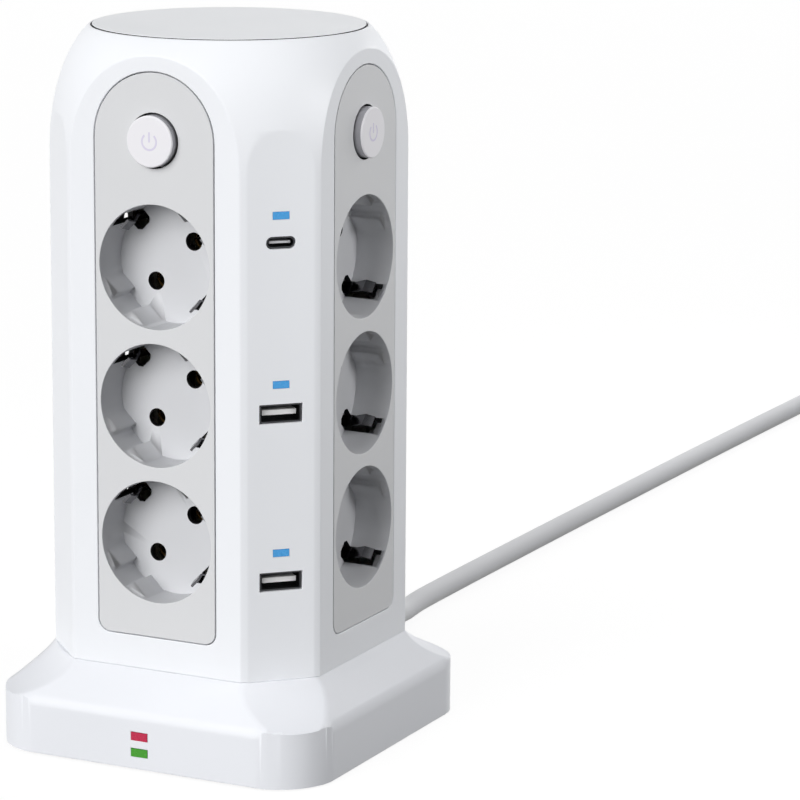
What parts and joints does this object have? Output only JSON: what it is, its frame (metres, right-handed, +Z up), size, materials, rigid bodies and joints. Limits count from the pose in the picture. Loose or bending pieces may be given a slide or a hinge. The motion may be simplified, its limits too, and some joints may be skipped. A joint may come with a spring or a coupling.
{
  "type": "tower power strip",
  "caption": "Upright square power strip with an arched panel of earthed sockets and a push button on each side, USB outlets on one corner, a splayed base and a mains cord with a plug.",
  "frame": {"origin": "middle of the base's underside, on the floor that the rubber feet stand on", "axes": "+Z up, -Y out of the front face, which has the two base lamps under it, +X out of the right face; the USB corner lies between -Y and +X"},
  "size_m": [0.1803, 0.7149, 0.229],
  "materials": {
    "body": "fine satin, cool white",
    "lid": "fine satin, cool white",
    "panel": "satin, light grey",
    "button": "satin, white",
    "plate": "matt, light grey",
    "foot": "matt, dark grey",
    "screw": "zinc plated",
    "switch": "matt, black",
    "cover": "matt, natural",
    "contact": "bare brass",
    "earth": "nickel plated spring strip",
    "usb_steel": "bright steel",
    "usb_white": "satin, white",
    "usb_grey": "satin, light grey",
    "blue_guide": "clear blue, lit",
    "red_lens": "clear red, lit",
    "green_lens": "clear green, lit",
    "board": "green circuit board",
    "component": "electronic parts",
    "varistor": "blue epoxy",
    "terminal": "natural",
    "fuse": "glass tube with metal ends",
    "live_sheath": "brown sheath",
    "neutral_sheath": "blue sheath",
    "earth_sheath": "green and yellow sheath",
    "cord": "smooth flexible sheath, white",
    "plug": "satin, white",
    "pin": "nickel plated brass"
  },
  "bodies": {
    "tower": {"front_socket_panel": "panel", "right_socket_panel": "panel", "rear_socket_panel": "panel", "left_socket_panel": "panel", "front_switch": "switch", "right_switch": "switch", "rear_switch": "switch", "left_switch": "switch", "front_contact_cover": "cover", "right_contact_cover": "cover", "rear_contact_cover": "cover", "left_contact_cover": "cover", "front_live_rail": "contact", "right_live_rail": "contact", "rear_live_rail": "contact", "left_live_rail": "contact", "front_neutral_rail": "contact", "right_neutral_rail": "contact", "rear_neutral_rail": "contact", "left_neutral_rail": "contact", "front_earth_rail": "earth", "right_earth_rail": "earth", "rear_earth_rail": "earth", "left_earth_rail": "earth", "tower_shell": "body", "top_lid": "lid", "base_housing": "body", "base_plate": "plate", "rubber_feet": "foot", "base_screws": "screw", "case_screws": "screw", "usb_board": "board", "usb_a_shells": "usb_steel", "usb_a_inserts": "usb_white", "usb_c_shell": "usb_steel", "usb_c_insert": "usb_grey", "usb_light_guides": "blue_guide", "power_board": "board", "usb_transformer": "component", "capacitors": "component", "varistors": "varistor", "line_fuse": "fuse", "terminal_block": "terminal", "indicator_board": "board", "red_lamp": "red_lens", "green_lamp": "green_lens", "cord_clamp": "plate", "live_wires": "live_sheath", "neutral_wires": "neutral_sheath", "earth_wires": "earth_sheath", "strain_relief": "cord", "cord_run": "cord", "cord_coil": "cord", "plug_body": "plug", "plug_pins": "pin", "plug_earth_clips": "earth"},
    "front_button_body": {"front_button": "button"},
    "right_button_body": {"right_button": "button"},
    "rear_button_body": {"rear_button": "button"},
    "left_button_body": {"left_button": "button"}
  },
  "joints": [
    {"name": "front_button_press", "type": "slide", "parent": "tower", "child": "front_button_body", "axis": [0, 1, 0], "range_m": [0, 0.0025], "stiffness_N_per_m": 400, "springref_m": -0.003},
    {"name": "right_button_press", "type": "slide", "parent": "tower", "child": "right_button_body", "axis": [-1, 0, 0], "range_m": [0, 0.0025], "stiffness_N_per_m": 400, "springref_m": -0.003},
    {"name": "rear_button_press", "type": "slide", "parent": "tower", "child": "rear_button_body", "axis": [0, -1, 0], "range_m": [0, 0.0025], "stiffness_N_per_m": 400, "springref_m": -0.003},
    {"name": "left_button_press", "type": "slide", "parent": "tower", "child": "left_button_body", "axis": [1, 0, 0], "range_m": [0, 0.0025], "stiffness_N_per_m": 400, "springref_m": -0.003}
  ]
}
